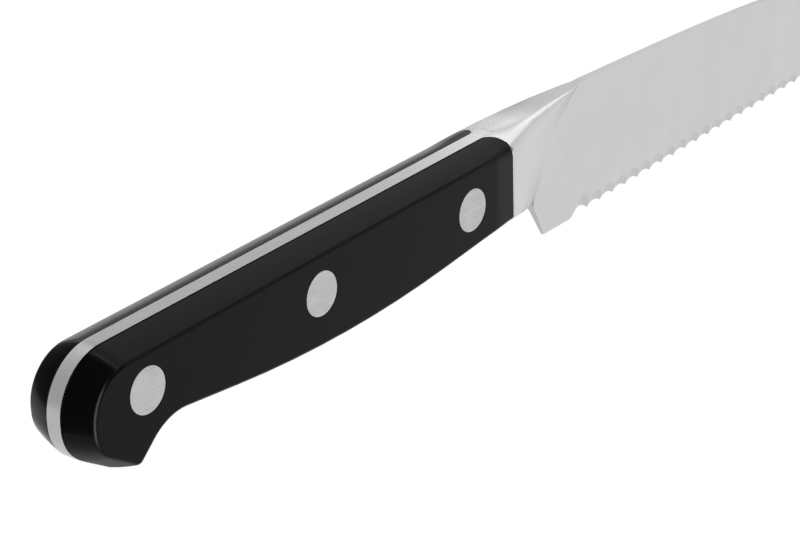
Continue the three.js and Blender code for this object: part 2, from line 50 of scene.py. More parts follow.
BLADE_LENGTH = 130
HALF_TANG = 1.225

BUTT_TOP_RADIUS = 8.7
BUTT_DEPTH = 13.4
BUTT_LOWER_RADIUS = 7.4
BEAK_FROM_BUTT = 9.8
BEAK_DEPTH = 19.75
BEAK_RADIUS = 2.7
WAIST_FROM_BUTT = 16.3
WAIST_DEPTH = 14.15
WAIST_RADIUS = 7.4
BELLY_FROM_BOLSTER = 43
BELLY_DEPTH = 19
BELLY_RADIUS = 230
THROAT_X = 2
THROAT_DEPTH = 14.95
THROAT_RADIUS = 25

BOLSTER_HALF_WIDTH = 5.4
RIGHT_ROOF_ANGLE = math.radians(18.5)
RIGHT_ROOF_FADE = 8
LEFT_ROOF_ANGLE = math.radians(15.5)
LEFT_ROOF_FADE = 16
TANG_FILLET = 3
FLARE_POWER = 1.1
FLARE_FULLNESS = 0.2
PLUNGE_TOP_X = 23.4
PLUNGE_BOTTOM_X = 12.6
PLUNGE_RUNOUT = 2
RUNOUT_DEPTH = 5
PLUNGE_SOFTNESS = 0.45

BACK_EDGE_RADIUS = 0.35
RIGHT_EDGE_RADIUS = 2.5
LEFT_EDGE_RADIUS = 0.9
LOWER_EDGE_RADIUS = 0.9
SPINE_EDGE_RADIUS = 0.03
BOTTOM_EDGE_RADIUS = 0.5
STRIP_EDGE_RADIUS = 0.025
EDGE_FADE_POWER = 3
EDGE_ROOF_SHARE = 0.45
RIGHT_EDGE_ROOF_SHARE = 0.65
EDGE_SIDE_SHARE = 0.3
FLAT_SHARE = 0.6

NOTCH_X = 11.8
NOTCH_DEPTH = 17.15
NOTCH_RADIUS = 0.8
HEEL_BOW_X = 13.5
HEEL_BOW_DEPTH = 19.8
HEEL_BOW_RADIUS = 40
HEEL_X = 15.6
HEEL_DEPTH = 23.75
HEEL_RADIUS = 0.5
HEEL_END_X = 23.2
HEEL_END_DEPTH = 23.85
HEEL_SWELL = 0.3
HEEL_SWELL_HEIGHT = 3
HEEL_SWELL_RUN = 2

SPINE_THICKNESS = 1.85
TIP_THICKNESS = 0.9
EDGE_THICKNESS = 0.45
SPINE_STRAIGHT_X = 27.5
SPINE_FALL = math.tan(math.radians(2.65))
SPINE_FALL_REACH = 50
SPINE_TURN_BACK = 15
SPINE_TURN_DEPTH = 4.1
SPINE_POINTS = 400
EDGE_DEPTH = 23.8
TIP_RISE = 3.2
TIP_RISE_LENGTH = 38
TIP_HEIGHT = 0.7

FIRST_VALLEY_X = 26.7
FIRST_SCALLOP_DEPTH = 1.15
FIRST_TOOTH_X = 29.2
TOOTH_PITCH = 3.93
SCALLOP_DEPTH = 0.7
SCALLOP_ANGLE = math.radians(14)
SCALLOP_REACH = 0.6
EDGE_LAND = 0.06
PLAIN_TIP_LENGTH = 2.5

STATION_DIGITS = 4
FILLET_STATIONS = 15
BACK_EDGE_STATIONS = 4
BOLSTER_STATIONS = 70
FIRST_BOLSTER_STATION = 0.3
FIRST_HEEL_STATION = 1

TIP_X = HEEL_X + BLADE_LENGTH
forging_low, forging_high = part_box("blade_forging")
bolster_back = forging_low.x + HANDLE_LENGTH * MM
handle_top = forging_high.z


def in_frame(points):
    """Points in the knife's millimetres, moved into the frame."""
    return np.asarray(points, float) * MM + (bolster_back, 0, handle_top)


def blend(first, second, share):
    return first + share * (second - first)


def smoothstep(value, low, high):
    t = np.clip((value - low) / (high - low), 0, 1)
    return t * t * (3 - 2 * t)


def bend(start, corner, stop, t):
    """A curve that leaves start towards corner and comes from there to stop."""
    return (1 - t) ** 2 * start + 2 * t * (1 - t) * corner + t ** 2 * stop


def rounded_chain(corners, turn_step=math.radians(3), least_steps=8):
    """Joins corners (x, z, radius) by straight lines and tangent arcs. The two ends stay sharp."""
    points = [np.array(corners[0][:2], float)]
    for before, corner, after in zip(corners, corners[1:], corners[2:]):
        at = np.array(corner[:2], float)
        back = np.array(before[:2]) - at
        ahead = np.array(after[:2]) - at
        back /= np.linalg.norm(back)
        ahead /= np.linalg.norm(ahead)
        turn = math.pi - math.acos(np.clip(back @ ahead, -1, 1))
        inward = (back + ahead) / np.linalg.norm(back + ahead)
        centre = at + inward * corner[2] / math.cos(turn / 2)
        side = math.copysign(1, back[0] * ahead[1] - back[1] * ahead[0])
        steps = max(least_steps, math.ceil(turn / turn_step))
        middle = math.atan2(-inward[1], -inward[0])
        for k in range(steps + 1):
            angle = middle - side * turn * (k / steps - 0.5)
            points.append(centre + corner[2] * np.array((math.cos(angle), math.sin(angle))))
    points.append(np.array(corners[-1][:2], float))
    return np.array(points)


throat = (THROAT_X, -THROAT_DEPTH, THROAT_RADIUS)
belly = (-BELLY_FROM_BOLSTER, -BELLY_DEPTH, BELLY_RADIUS)
notch = (NOTCH_X, -NOTCH_DEPTH, NOTCH_RADIUS)
handle_outline = rounded_chain([
    notch,
    throat,
    belly,
    (WAIST_FROM_BUTT - HANDLE_LENGTH, -WAIST_DEPTH, WAIST_RADIUS),
    (BEAK_FROM_BUTT - HANDLE_LENGTH, -BEAK_DEPTH, BEAK_RADIUS),
    (-HANDLE_LENGTH, -BUTT_DEPTH, BUTT_LOWER_RADIUS),
    (-HANDLE_LENGTH, 0, BUTT_TOP_RADIUS),
    (NOTCH_X, 0, 0),
])
heel_outline = rounded_chain([
    belly,
    throat,
    notch,
    (HEEL_BOW_X, -HEEL_BOW_DEPTH, HEEL_BOW_RADIUS),
    (HEEL_X, -HEEL_DEPTH, HEEL_RADIUS),
    (HEEL_END_X, -HEEL_END_DEPTH, 0),
])
butt_end = int(np.argmin(handle_outline[:, 0]))
lower_chain = handle_outline[:butt_end + 1][::-1]
upper_chain = handle_outline[butt_end + 1:]

spine_t = np.linspace(0, 1, SPINE_POINTS)[:, None]
spine_controls = np.array([
    (SPINE_STRAIGHT_X, 0),
    (SPINE_STRAIGHT_X + SPINE_FALL_REACH, -SPINE_FALL_REACH * SPINE_FALL),
    (TIP_X - SPINE_TURN_BACK, -SPINE_TURN_DEPTH),
    (TIP_X, TIP_HEIGHT + TIP_RISE - EDGE_DEPTH),
])
spine_line = sum(
    math.comb(3, k) * spine_t ** k * (1 - spine_t) ** (3 - k) * control
    for k, control in enumerate(spine_controls)
)


def tooth_line(x):
    """Height of the line through the teeth, which rises near the tip."""
    rise = max(0, (x - TIP_X + TIP_RISE_LENGTH) / TIP_RISE_LENGTH)
    return TIP_RISE * rise * rise - EDGE_DEPTH


def edge_stations(steps=14, tip_steps=6):
    """x and z along the cutting edge: the step up from the heel, the scallops and the plain tip."""
    stations = []
    shares = np.linspace(0, 1, steps + 1)
    valley = tooth_line(FIRST_VALLEY_X) + FIRST_SCALLOP_DEPTH
    for share in shares[1:]:
        x = blend(HEEL_END_X, FIRST_VALLEY_X, share)
        stations.append((x, blend(-HEEL_END_DEPTH, valley, smoothstep(share, 0, 1))))
    for share in shares[1:-1]:
        x = blend(FIRST_VALLEY_X, FIRST_TOOTH_X, share)
        stations.append((x, tooth_line(x) + FIRST_SCALLOP_DEPTH * (1 - share ** 2)))
    teeth = math.floor((TIP_X - PLAIN_TIP_LENGTH - FIRST_TOOTH_X) / TOOTH_PITCH)
    for k in range(teeth * steps + 1):
        x = FIRST_TOOTH_X + k / steps * TOOTH_PITCH
        share = k % steps / steps
        stations.append((x, tooth_line(x) + SCALLOP_DEPTH * (1 - (2 * share - 1) ** 2)))
    for x in np.linspace(stations[-1][0], TIP_X, tip_steps + 1)[1:]:
        stations.append((x, tooth_line(x)))
    return np.array(stations)


cutting_edge = edge_stations()


def top_height(x):
    if x < SPINE_STRAIGHT_X:
        return np.interp(x, upper_chain[:, 0], upper_chain[:, 1])
    return np.interp(x, spine_line[:, 0], spine_line[:, 1])


def bottom_height(x):
    if x < 0:
        return np.interp(x, lower_chain[:, 0], lower_chain[:, 1])
    if x <= HEEL_END_X:
        return np.interp(x, heel_outline[:, 0], heel_outline[:, 1])
    return np.interp(x, cutting_edge[:, 0], cutting_edge[:, 1])


def blade_flank(x, z):
    """Half-width of the blade, which thins from the spine to the edge and from the heel to the tip."""
    along = np.clip((x - HEEL_X) / BLADE_LENGTH, 0, 1)
    spine = blend(SPINE_THICKNESS, TIP_THICKNESS, along) / 2
    height = np.clip((z - tooth_line(x)) / (top_height(max(x, 0)) - tooth_line(x)), 0, 1)
    return blend(EDGE_THICKNESS / 2, spine, height)


def plunge_x(z):
    """Where the bolster's flare ends at a height: a slanting line that runs out forward near the spine."""
    straight = PLUNGE_TOP_X + z / NOTCH_DEPTH * (PLUNGE_TOP_X - PLUNGE_BOTTOM_X)
    return straight + PLUNGE_RUNOUT * max(0, 1 + z / RUNOUT_DEPTH) ** 2


def flank(x, z):
    """Half-width of the forging: tang, fillet, flared bolster and blade."""
    if x <= -TANG_FILLET:
        return HALF_TANG
    if x < 0:
        return HALF_TANG + TANG_FILLET - math.sqrt(TANG_FILLET ** 2 - (x + TANG_FILLET) ** 2)
    blade = blade_flank(x, z)
    if NOTCH_X < x < HEEL_X:
        near_edge = max(0, 1 - (z - bottom_height(x)) / HEEL_SWELL_HEIGHT)
        blade += HEEL_SWELL * near_edge ** 2 * min(1, (HEEL_X - x) / HEEL_SWELL_RUN)
    plunge = plunge_x(z)
    if x >= plunge:
        return blade
    power = FLARE_POWER - FLARE_FULLNESS * max(0, 1 + z / RUNOUT_DEPTH)
    return blend(blade, BOLSTER_HALF_WIDTH, ((plunge - x) / plunge) ** power)


def rounded_corner(
    x, end, inward, roof, radius, room, shrink=0, roof_share=EDGE_ROOF_SHARE, steps=9, rounds=20,
):
    """Half of the top or bottom of a section: the flat over the tang, the roof and the rounded edge.

    The roof is followed inward until it meets the flank, and the edge takes a limited share of both.
    """
    slope = math.tan(roof)
    y = flank(x, end) - shrink
    for _ in range(rounds):
        y = flank(x, end + inward * max(0, y - HALF_TANG) * slope) - shrink
    over = max(0, y - HALF_TANG)
    corner = np.array((y, end + inward * over * slope))
    run = min(y, HALF_TANG) + over / math.cos(roof)
    back = min(radius * math.tan(math.pi / 4 - roof / 2), roof_share * run, EDGE_SIDE_SHARE * room)

    def on_roof(s):
        beyond = max(0, s - HALF_TANG)
        return np.array((min(s, HALF_TANG) + beyond * math.cos(roof), end + inward * beyond * math.sin(roof)))

    low = corner[1] + inward * back
    stop = np.array((flank(x, low) - shrink, low))
    edge = bend(on_roof(run - back), corner, stop, np.linspace(0, 1, steps + 1)[:, None])
    return np.vstack((on_roof(min(HALF_TANG, FLAT_SHARE * (run - back))), edge))


def side_heights(x, upper, lower, rows=9, samples=60, halvings=30):
    """Heights down a flank, with three close rows along the plunge line."""
    heights = np.linspace(upper, lower, samples)
    crossed = [z for z in heights if x < plunge_x(z)]
    crease = crossed[-1] if 0 < x and crossed else upper
    if crossed and len(crossed) < samples and x > 0:
        high, low = crease, heights[len(crossed)]
        for _ in range(halvings):
            crease = (high + low) / 2
            high, low = (crease, low) if x < plunge_x(crease) else (high, crease)
    crease = np.clip(crease, lower + 2 * PLUNGE_SOFTNESS, upper - 2 * PLUNGE_SOFTNESS)
    above = np.linspace(upper, crease + PLUNGE_SOFTNESS, rows)[1:]
    below = np.linspace(crease - PLUNGE_SOFTNESS, lower, rows)[:-1]
    return np.concatenate((above, [crease], below))


def forging_ring(x, shrink=0):
    """A closed section at x: down the right side and up the left."""
    top, bottom = top_height(x), bottom_height(x)
    room = (top - bottom) / 2
    fade = np.clip(x / RIGHT_ROOF_FADE, 0, 1)
    right_roof = RIGHT_ROOF_ANGLE * (1 - fade)
    left_roof = LEFT_ROOF_ANGLE * (1 - np.clip(x / LEFT_ROOF_FADE, 0, 1))
    along = np.clip(x / HEEL_END_X, 0, 1) ** EDGE_FADE_POWER
    right_radius = blend(RIGHT_EDGE_RADIUS, SPINE_EDGE_RADIUS, along)
    left_radius = blend(LEFT_EDGE_RADIUS, SPINE_EDGE_RADIUS, along)
    bottom_radius = blend(BOTTOM_EDGE_RADIUS, LOWER_EDGE_RADIUS, fade)
    if x <= 0 and not shrink:
        right_radius = left_radius = bottom_radius = STRIP_EDGE_RADIUS
    upper_right = rounded_corner(x, top, -1, right_roof, right_radius, room, shrink, RIGHT_EDGE_ROOF_SHARE)
    upper_left = rounded_corner(x, top, -1, left_roof, left_radius, room, shrink)
    if x <= HEEL_END_X:
        lower_left = rounded_corner(x, bottom, 1, right_roof, bottom_radius, room, shrink)[::-1]
        lower_right = lower_left
    else:
        ground = min(1, (x - HEEL_END_X) / (FIRST_VALLEY_X - HEEL_END_X))
        edge = blade_flank(x, bottom)
        land = blend(2 * edge, EDGE_LAND, ground)
        facet = min((2 * edge - land) / math.tan(SCALLOP_ANGLE), SCALLOP_REACH * (top - bottom)) + EDGE_LAND
        share = np.linspace(0, 1, len(upper_left))
        heights = bottom + facet * (1 - share)
        face = blade_flank(x, bottom + facet)
        lower_left = np.column_stack((blend(face, edge, share), heights))
        lower_right = np.column_stack((blend(face, land - edge, share), heights))

    def side(upper, lower):
        heights = side_heights(x, upper[-1, 1], lower[0, 1])
        return np.vstack((upper, np.column_stack(([flank(x, z) - shrink for z in heights], heights)), lower))

    right = side(upper_right, lower_right) * (-1, 1)
    left = side(upper_left, lower_left)[::-1]
    ring = np.vstack((right, left))
    return np.column_stack((np.full(len(ring), x), ring))


behind_fillet = handle_outline[:, 0] < -TANG_FILLET
tang_stations = np.unique(np.round(handle_outline[behind_fillet, 0], STATION_DIGITS))
fillet_turns = np.linspace(0, math.pi / 2, FILLET_STATIONS)
fillet_stations = TANG_FILLET * (np.sin(fillet_turns) - 1) - HAIR
forging_rings = [forging_ring(x) for x in (*tang_stations, *fillet_stations)]
for turn in np.linspace(0, math.pi / 2, BACK_EDGE_STATIONS):
    back_edge_x = HAIR + BACK_EDGE_RADIUS * (1 - math.cos(turn))
    setback = BACK_EDGE_RADIUS * (1 - math.sin(turn))
    forging_rings.append(forging_ring(back_edge_x, shrink=max(setback, HAIR)))
heel_stations = heel_outline[heel_outline[:, 0] > FIRST_HEEL_STATION, 0]
even_stations = np.linspace(FIRST_BOLSTER_STATION, HEEL_END_X, BOLSTER_STATIONS)
bolster_stations = np.unique(np.round(np.concatenate((even_stations, heel_stations)), STATION_DIGITS))
forging_rings += [forging_ring(x) for x in (*bolster_stations, *cutting_edge[:, 0])]


def loft(rings):
    """Vertices and faces of a skin through rings of one count, with flat ends."""
    count = len(rings[0])
    faces = [tuple(range(count))[::-1]]
    for r in range(len(rings) - 1):
        for k in range(count):
            n = (k + 1) % count
            faces.append((r * count + k, r * count + n, (r + 1) * count + n, (r + 1) * count + k))
    last = (len(rings) - 1) * count
    faces.append(tuple(range(last, last + count)))
    return np.vstack(rings), faces


def make_piece(name, points, faces, finish, side=1, sharp=math.radians(32)):
    """A smooth-shaded mesh with sharp creases, on the knife's one body. Side -1 mirrors it to the right."""
    if side < 0:
        faces = [face[::-1] for face in faces]
    mesh = bpy.data.meshes.new(name)
    mesh.from_pydata([tuple(p) for p in in_frame(points * (1, side, 1))], [], faces)
    mesh.polygons.foreach_set("use_smooth", [True] * len(mesh.polygons))
    mesh.set_sharp_from_angle(angle=sharp)
    mesh.materials.append(finish)
    piece = bpy.data.objects.new(name, mesh)
    bpy.context.scene.collection.objects.link(piece)
    normals = piece.modifiers.new("even shading", "WEIGHTED_NORMAL")
    normals.keep_sharp = True
    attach(piece, "root")
    return piece


class Value:
    """A shader socket that takes part in Python arithmetic."""

    def __init__(self, tree, socket):
        self.tree = tree
        self.socket = socket

    def joined(self, operation, first, second):
        node = self.tree.nodes.new("ShaderNodeMath")
        node.operation = operation
        for slot, value in zip(node.inputs, (first, second)):
            plug(self.tree, slot, value)
        return Value(self.tree, node.outputs[0])

    def __add__(self, other):
        return self.joined("ADD", self, other)

    def __sub__(self, other):
        return self.joined("SUBTRACT", self, other)

    def __rsub__(self, other):
        return self.joined("SUBTRACT", other, self)

    def __mul__(self, other):
        return self.joined("MULTIPLY", self, other)

    __radd__ = __add__
    __rmul__ = __mul__


def plug(tree, slot, value):
    """Links a value to a socket, or sets the socket to a number or colour."""
    if isinstance(value, Value):
        tree.links.new(value.socket, slot)
    else:
        slot.default_value = value


class Nodes:
    """A node tree, with the one method that makes its nodes."""

    def __init__(self, tree):
        self.tree = tree

    def node(self, kind, settings=(), inputs=(), output=0):
        """Adds a node, its settings first and then its sockets, and gives one of its outputs."""
        node = self.tree.nodes.new(kind)
        for key, value in dict(settings).items():
            setattr(node, key, value)
        for key, value in dict(inputs).items():
            plug(self.tree, node.inputs[key], value)
        return Value(self.tree, node.outputs[output])


class Finish(Nodes):
    """A material with one shader."""

    def __init__(self, name, **shader):
        self.material = bpy.data.materials.new(name)
        self.material.use_nodes = True
        super().__init__(self.material.node_tree)
        self.shader = self.tree.nodes["Principled BSDF"]
        self.place = self.node("ShaderNodeTexCoord", output="Object")
        self.set(**shader)

    def set(self, **sockets):
        for key, value in sockets.items():
            plug(self.tree, self.shader.inputs[key.replace("_", " ").title().replace("Ior", "IOR")], value)

    def stretched_noise(self, per_mm, detail=3, roughness=0.6, place=None):
        """Noise with its own fineness along x, y and z, in features to the millimetre."""
        scaled = self.node("ShaderNodeVectorMath", {"operation": "MULTIPLY"},
                           {0: place or self.place, 1: [f / MM for f in per_mm]})
        return self.node("ShaderNodeTexNoise", inputs={
            "Vector": scaled, "Scale": 1.0, "Detail": detail, "Roughness": roughness})

    def between(self, share, first, second):
        """A colour between two others, which are three numbers or a colour already made."""
        factor, colour_a, colour_b, colour_result = 0, 6, 7, 2
        first, second = (c if isinstance(c, Value) else (*c, 1) for c in (first, second))
        sockets = {factor: share, colour_a: first, colour_b: second}
        return self.node("ShaderNodeMix", {"data_type": "RGBA"}, sockets, colour_result)

    def rise(self, value, start, full, smooth=True):
        """A mask that goes from 0 to 1 as a value goes from start to full, upward or downward."""
        return self.node("ShaderNodeMapRange", {"interpolation_type": "SMOOTHSTEP" if smooth else "LINEAR"},
                         {"Value": value, "From Min": start, "From Max": full})

    def along_knife(self, start, full, smooth=False):
        """A mask between two places along the knife, in millimetres ahead of the bolster's back face."""
        x = self.node("ShaderNodeSeparateXYZ", inputs={0: self.place}, output="X")
        return self.rise(x, bolster_back + start * MM, bolster_back + full * MM, smooth)

    def facing(self, axis):
        """How far the surface faces along X, Y or Z of the knife."""
        normal = self.node("ShaderNodeNewGeometry", output="Normal")
        return self.node("ShaderNodeSeparateXYZ", inputs={0: normal}, output=axis)

    def bump(self, height, depth_mm):
        return self.node("ShaderNodeBump", inputs={"Distance": depth_mm * MM, "Height": height})


BRIGHT_STEEL = (0.5, 0.5, 0.495), (0.66, 0.66, 0.655)
# The duller colour is both a duller finish and painted shade on faces turned backward.
DULL_AND_SHADE_STEEL = (0.38, 0.38, 0.377), (0.5, 0.5, 0.497)
# Near-white steel for painted light on the bolster's top.
LIGHT_PAINTED_STEEL = (0.86, 0.86, 0.855)
# Near-white steel for a painted highlight along the bolster's back edge.
RIM_HIGHLIGHT_STEEL = (0.85, 0.85, 0.845)
SCALLOP_DULLNESS = 0.45
GRIND_DEPTH = 0.0009

steel = Finish("satin steel", metallic=1.0)
across = steel.stretched_noise((9, 2, 0.12))
lengthwise = steel.stretched_noise((0.08, 2.4, 2.4))
clouds = steel.stretched_noise((0.12, 0.3, 0.12), detail=2)
facing_up = steel.rise(steel.facing("Z"), 0.5, 0.9)
level = steel.rise(steel.facing("Z"), 0.9, 0.965)
facing_down = steel.rise(steel.facing("Z"), -0.08, -0.2)
facing_back = steel.rise(steel.facing("X"), -0.25, -0.7)
turning_back = steel.rise(steel.facing("X"), -0.1, -0.3, smooth=False)
leaning_left = steel.rise(steel.facing("Y"), -0.15, 0.15, smooth=False)
towards_bolster = steel.along_knife(-30, -3)
on_back_edge = steel.along_knife(0.5, 0.4) * (1 - steel.along_knife(-1, -4))
on_spine = steel.along_knife(4, 15, smooth=True)
on_cutting_edge = steel.along_knife(HEEL_X, HEEL_END_X)

grind = (0.35 + 0.3 * across) * (1 - facing_up) + lengthwise * facing_up
tone = grind * 0.6 + clouds * 0.4
bright_steel = steel.between(tone, *BRIGHT_STEEL)
dull_and_shade_steel = steel.between(tone, *DULL_AND_SHADE_STEEL)
ground_steel = steel.between(facing_down * on_cutting_edge * SCALLOP_DULLNESS, bright_steel, dull_and_shade_steel)
# Painted shade: faces turned backward, such as the butt end of the tang and the heel's rear face, are
# darkened towards the duller colour.
back_shade_steel = steel.between(facing_back * (1 - on_back_edge), ground_steel, dull_and_shade_steel)
# Painted light: flat tops near the bolster that lean to the left are lightened towards near-white steel.
lit_bolster_top = level * towards_bolster * leaning_left * (1 - on_spine)
lit_top_steel = steel.between(lit_bolster_top, back_shade_steel, LIGHT_PAINTED_STEEL)
top_steel = steel.between(level * on_spine, lit_top_steel, dull_and_shade_steel)
steel.set(
    # Painted highlight: the rounded back edge of the bolster, where it turns backward, is near-white.
    base_color=steel.between(on_back_edge * turning_back, top_steel, RIM_HIGHLIGHT_STEEL),
    roughness=0.2 + 0.08 * grind + 0.05 * clouds,
    normal=steel.bump(grind, GRIND_DEPTH),
)

forging_points, forging_faces = loft(forging_rings)
forging = make_piece("forging", forging_points, forging_faces, steel.material)
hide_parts("blade_forging")

# Scales: two moulded slabs of black polymer, riveted to the tang's sides and ground flush with the steel.
# A shallow roof falls from the tang to flat sides, which step in by a fine band next to the bolster.
SIDE_HALF_WIDTH_BUTT = 6.05
SIDE_HALF_WIDTH_BAND = 5.65
BAND_LENGTH = 4.5
BAND_SOFTNESS = 1.2
RIGHT_SCALE_ROOF = math.radians(19.5)
LEFT_SCALE_ROOF = math.radians(18.5)
ROOF_CROWN = 0.08
CREASE_RADIUS = 0.75
CREASE_BLEND_LENGTH = 9
CREASE_ANGLE = math.radians(25)
FRONT_STATIONS = 13
SEAM = 0.05
INNER_EASE = 0.2
RIVET_CLEARANCE = 0.05
HEAD_HOLE_DEPTH = 1.5

SIDE_TAPER = (SIDE_HALF_WIDTH_BUTT - SIDE_HALF_WIDTH_BAND) / (HANDLE_LENGTH - BAND_LENGTH)
BAND_TAPER = (SIDE_HALF_WIDTH_BAND - BOLSTER_HALF_WIDTH) / BAND_LENGTH
BAND_START_TOLERANCE = 0.001


def side_half_width(x, in_band):
    return SIDE_HALF_WIDTH_BAND - (BAND_TAPER if in_band else SIDE_TAPER) * (x + BAND_LENGTH)


def split_at(points, stations, least_share=0.001):
    """Adds the points where a chain crosses the given x values."""
    out = [points[0]]
    for a, b in zip(points, points[1:]):
        for x in sorted(stations, reverse=a[0] > b[0]):
            share = (x - a[0]) / (b[0] - a[0]) if abs(b[0] - a[0]) > HAIR else 0
            if least_share < share < 1 - least_share:
                out.append(a + share * (b - a))
        out.append(b)
    return np.array(out)


front_stations = [*np.linspace(-CREASE_BLEND_LENGTH, 0, FRONT_STATIONS), -BAND_LENGTH]
scale_outline = split_at(handle_outline, sorted(set(np.round(front_stations, STATION_DIGITS))))


def inward_normals(points):
    """Steps that move each point of a closed outline inward by one unit from both its sides."""
    before = points - np.roll(points, 1, axis=0)
    after = np.roll(points, -1, axis=0) - points
    before /= np.linalg.norm(before, axis=1)[:, None]
    after /= np.linalg.norm(after, axis=1)[:, None]
    along = before + after
    along /= np.linalg.norm(along, axis=1)[:, None]
    return np.column_stack((along[:, 1], -along[:, 0])) / np.sum(along * before, axis=1)[:, None]


def scale_rings(scale_roof, edge_radius, edge_roof, steps=7):
    """Nested outlines on the left side: from the tang over the crowned roof and the crease to the side."""
    x, z = scale_outline.T
    normals = inward_normals(scale_outline)
    in_band = x > -BAND_LENGTH + BAND_START_TOLERANCE
    on_top = z > -THROAT_DEPTH / 2
    at_bolster = smoothstep(x, -CREASE_BLEND_LENGTH, 0)
    roof = blend(scale_roof, np.where(on_top, edge_roof, RIGHT_ROOF_ANGLE), at_bolster)
    radius = blend(CREASE_RADIUS, edge_radius, np.where(on_top, at_bolster, 0))
    back = (radius * np.tan(math.pi / 4 - roof / 2))[:, None]
    width = np.array([side_half_width(*at) for at in zip(x, in_band)])
    along = np.column_stack((np.sin(roof), np.cos(roof)))
    outward = np.column_stack((-np.cos(roof), np.sin(roof)))
    crease = np.column_stack(((width - HALF_TANG) * np.tan(roof), width))
    start, stop = crease - back * along, crease + back * (1, 0)
    eased = SEAM + INNER_EASE
    foot = np.column_stack((SEAM * np.tan(roof) + INNER_EASE, np.full(len(x), HALF_TANG + SEAM)))
    shoulder = np.column_stack((eased * np.tan(roof), np.full(len(x), HALF_TANG + eased)))
    shares = np.linspace(0, 1, steps + 1)
    profiles = [foot]
    for share in shares[:-1]:
        profiles.append(blend(shoulder, start, share) + 4 * share * (1 - share) * ROOF_CROWN * outward)
    for share in shares:
        profiles.append(bend(start, crease, stop, share))
    rings = []
    for profile in profiles:
        at = scale_outline + normals * profile[:, :1]
        rings.append(np.column_stack((at[:, 0], profile[:, 1], at[:, 1])))
    rings[-1][:, 1] = [side_half_width(*at) for at in zip(rings[-1][:, 0], in_band)]
    return rings, in_band


def circle(centre, radius, y, sides=96):
    turns = np.linspace(0, 2 * math.pi, sides, endpoint=False)
    x = centre[0] + radius * np.cos(turns)
    z = centre[1] + radius * np.sin(turns)
    return np.column_stack((x, np.full(sides, y), z))


def bolster_space(steps=24):
    """The bolster's back face and tang fillet, a seam wider than the forging, as a tall cutter."""
    turns = np.linspace(0, math.pi / 2, steps + 1)
    curve = np.column_stack((
        TANG_FILLET * (np.sin(turns) - 1) - SEAM * np.sin(turns),
        HALF_TANG + SEAM + (TANG_FILLET - SEAM) * (1 - np.cos(turns)),
    ))
    reach, far = NOTCH_X + TANG_FILLET, 2 * BOLSTER_HALF_WIDTH
    plan = np.vstack(([(-TANG_FILLET, 0)], curve, [(-SEAM, far), (reach, far), (reach, 0)]))
    return loft([np.column_stack((plan, np.full(len(plan), z))) for z in (BEAK_DEPTH, -2 * BEAK_DEPTH)])


rivet_places = {}
for rivet in ("front", "middle", "rear"):
    low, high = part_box(f"{rivet}_rivet_stud")
    centre = ((low + high) / 2 - Vector((bolster_back, 0, handle_top))) / MM
    rivet_places[rivet] = {
        "centre": (centre.x, centre.z),
        "radius": (high.x - low.x) / 2 / MM,
        "face": -low.y / MM,
    }


def rivet_hole(centre, radius, face):
    """The space for a rivet's head, as a cutter that reaches out of the scale."""
    ends = (2 * SIDE_HALF_WIDTH_BUTT, face - HEAD_HOLE_DEPTH)
    return loft([circle(centre, radius + RIVET_CLEARANCE, y) for y in ends])


def cut(points, faces, cutters):
    """A solid less other solids."""
    def as_object(solid):
        mesh = bpy.data.meshes.new("cut")
        mesh.from_pydata([tuple(p) for p in solid[0]], [], solid[1])
        obj = bpy.data.objects.new("cut", mesh)
        bpy.context.scene.collection.objects.link(obj)
        return obj

    body = as_object((points, faces))
    tools = [as_object(cutter) for cutter in cutters]
    for tool in tools:
        modifier = body.modifiers.new("cut", "BOOLEAN")
        modifier.object = tool
        modifier.operation = "DIFFERENCE"
        modifier.solver = "EXACT"
    done = body.evaluated_get(bpy.context.evaluated_depsgraph_get()).to_mesh()
    result = [tuple(v.co) for v in done.vertices], [tuple(p.vertices) for p in done.polygons]
    for obj in (body, *tools):
        bpy.data.objects.remove(obj)
    return np.array(result[0]), result[1]


def scale_solid(scale_roof, edge_radius, edge_roof):
    """A left scale. Its outer side has two flat faces, which meet where the band starts."""
    rings, in_band = scale_rings(scale_roof, edge_radius, edge_roof)
    count = len(rings[0])
    points, faces = loft(rings)
    on_bend = np.abs(scale_outline[:, 0] + BAND_LENGTH) < BAND_START_TOLERANCE
    last = (len(rings) - 1) * count
    faces[-1] = tuple(last + i for i in range(count) if not in_band[i])
    faces.append(tuple(last + i for i in range(count) if in_band[i] or on_bend[i]))
    holes = [rivet_hole(**place) for place in rivet_places.values()]
    return cut(points, faces, [bolster_space(), *holes])


MOULDED_BLACK = (0.002, 0.002, 0.0021), (0.004, 0.004, 0.0041)
# A lighter black for a painted sheen on the band's sides.
BAND_SHEEN_BLACK = (0.011, 0.011, 0.011)
# Grey for a painted highlight along the scales' rear crease.
RIM_HIGHLIGHT_GREY = (0.09, 0.09, 0.09)
GRAIN_DEPTH = 0.002

polymer = Finish("black moulded polymer", specular_ior_level=0.075)
grain = polymer.stretched_noise((5, 5, 5), detail=4)
flow = polymer.stretched_noise((0.05, 0.2, 0.2), detail=2)
sideways = polymer.facing("Y")
on_side = polymer.rise(sideways * sideways, 0.8, 0.98)
off_facet = polymer.rise(sideways * sideways, 0.2, 0.5)
underside = polymer.rise(polymer.facing("Z"), -0.3, -0.8)
above_beak = polymer.rise(polymer.facing("Z"), -0.35, 0.0)
rear_edge = polymer.rise(polymer.facing("X"), -0.35, -0.6)
near_bolster = polymer.along_knife(-BAND_LENGTH - BAND_SOFTNESS, -BAND_LENGTH + BAND_SOFTNESS, smooth=True)
moulded = polymer.between(flow, *MOULDED_BLACK)
# Painted sheen: the sides of the fine band next to the bolster are lighter than the rest of the scale.
band_sheen = polymer.between(near_bolster * on_side, moulded, BAND_SHEEN_BLACK)
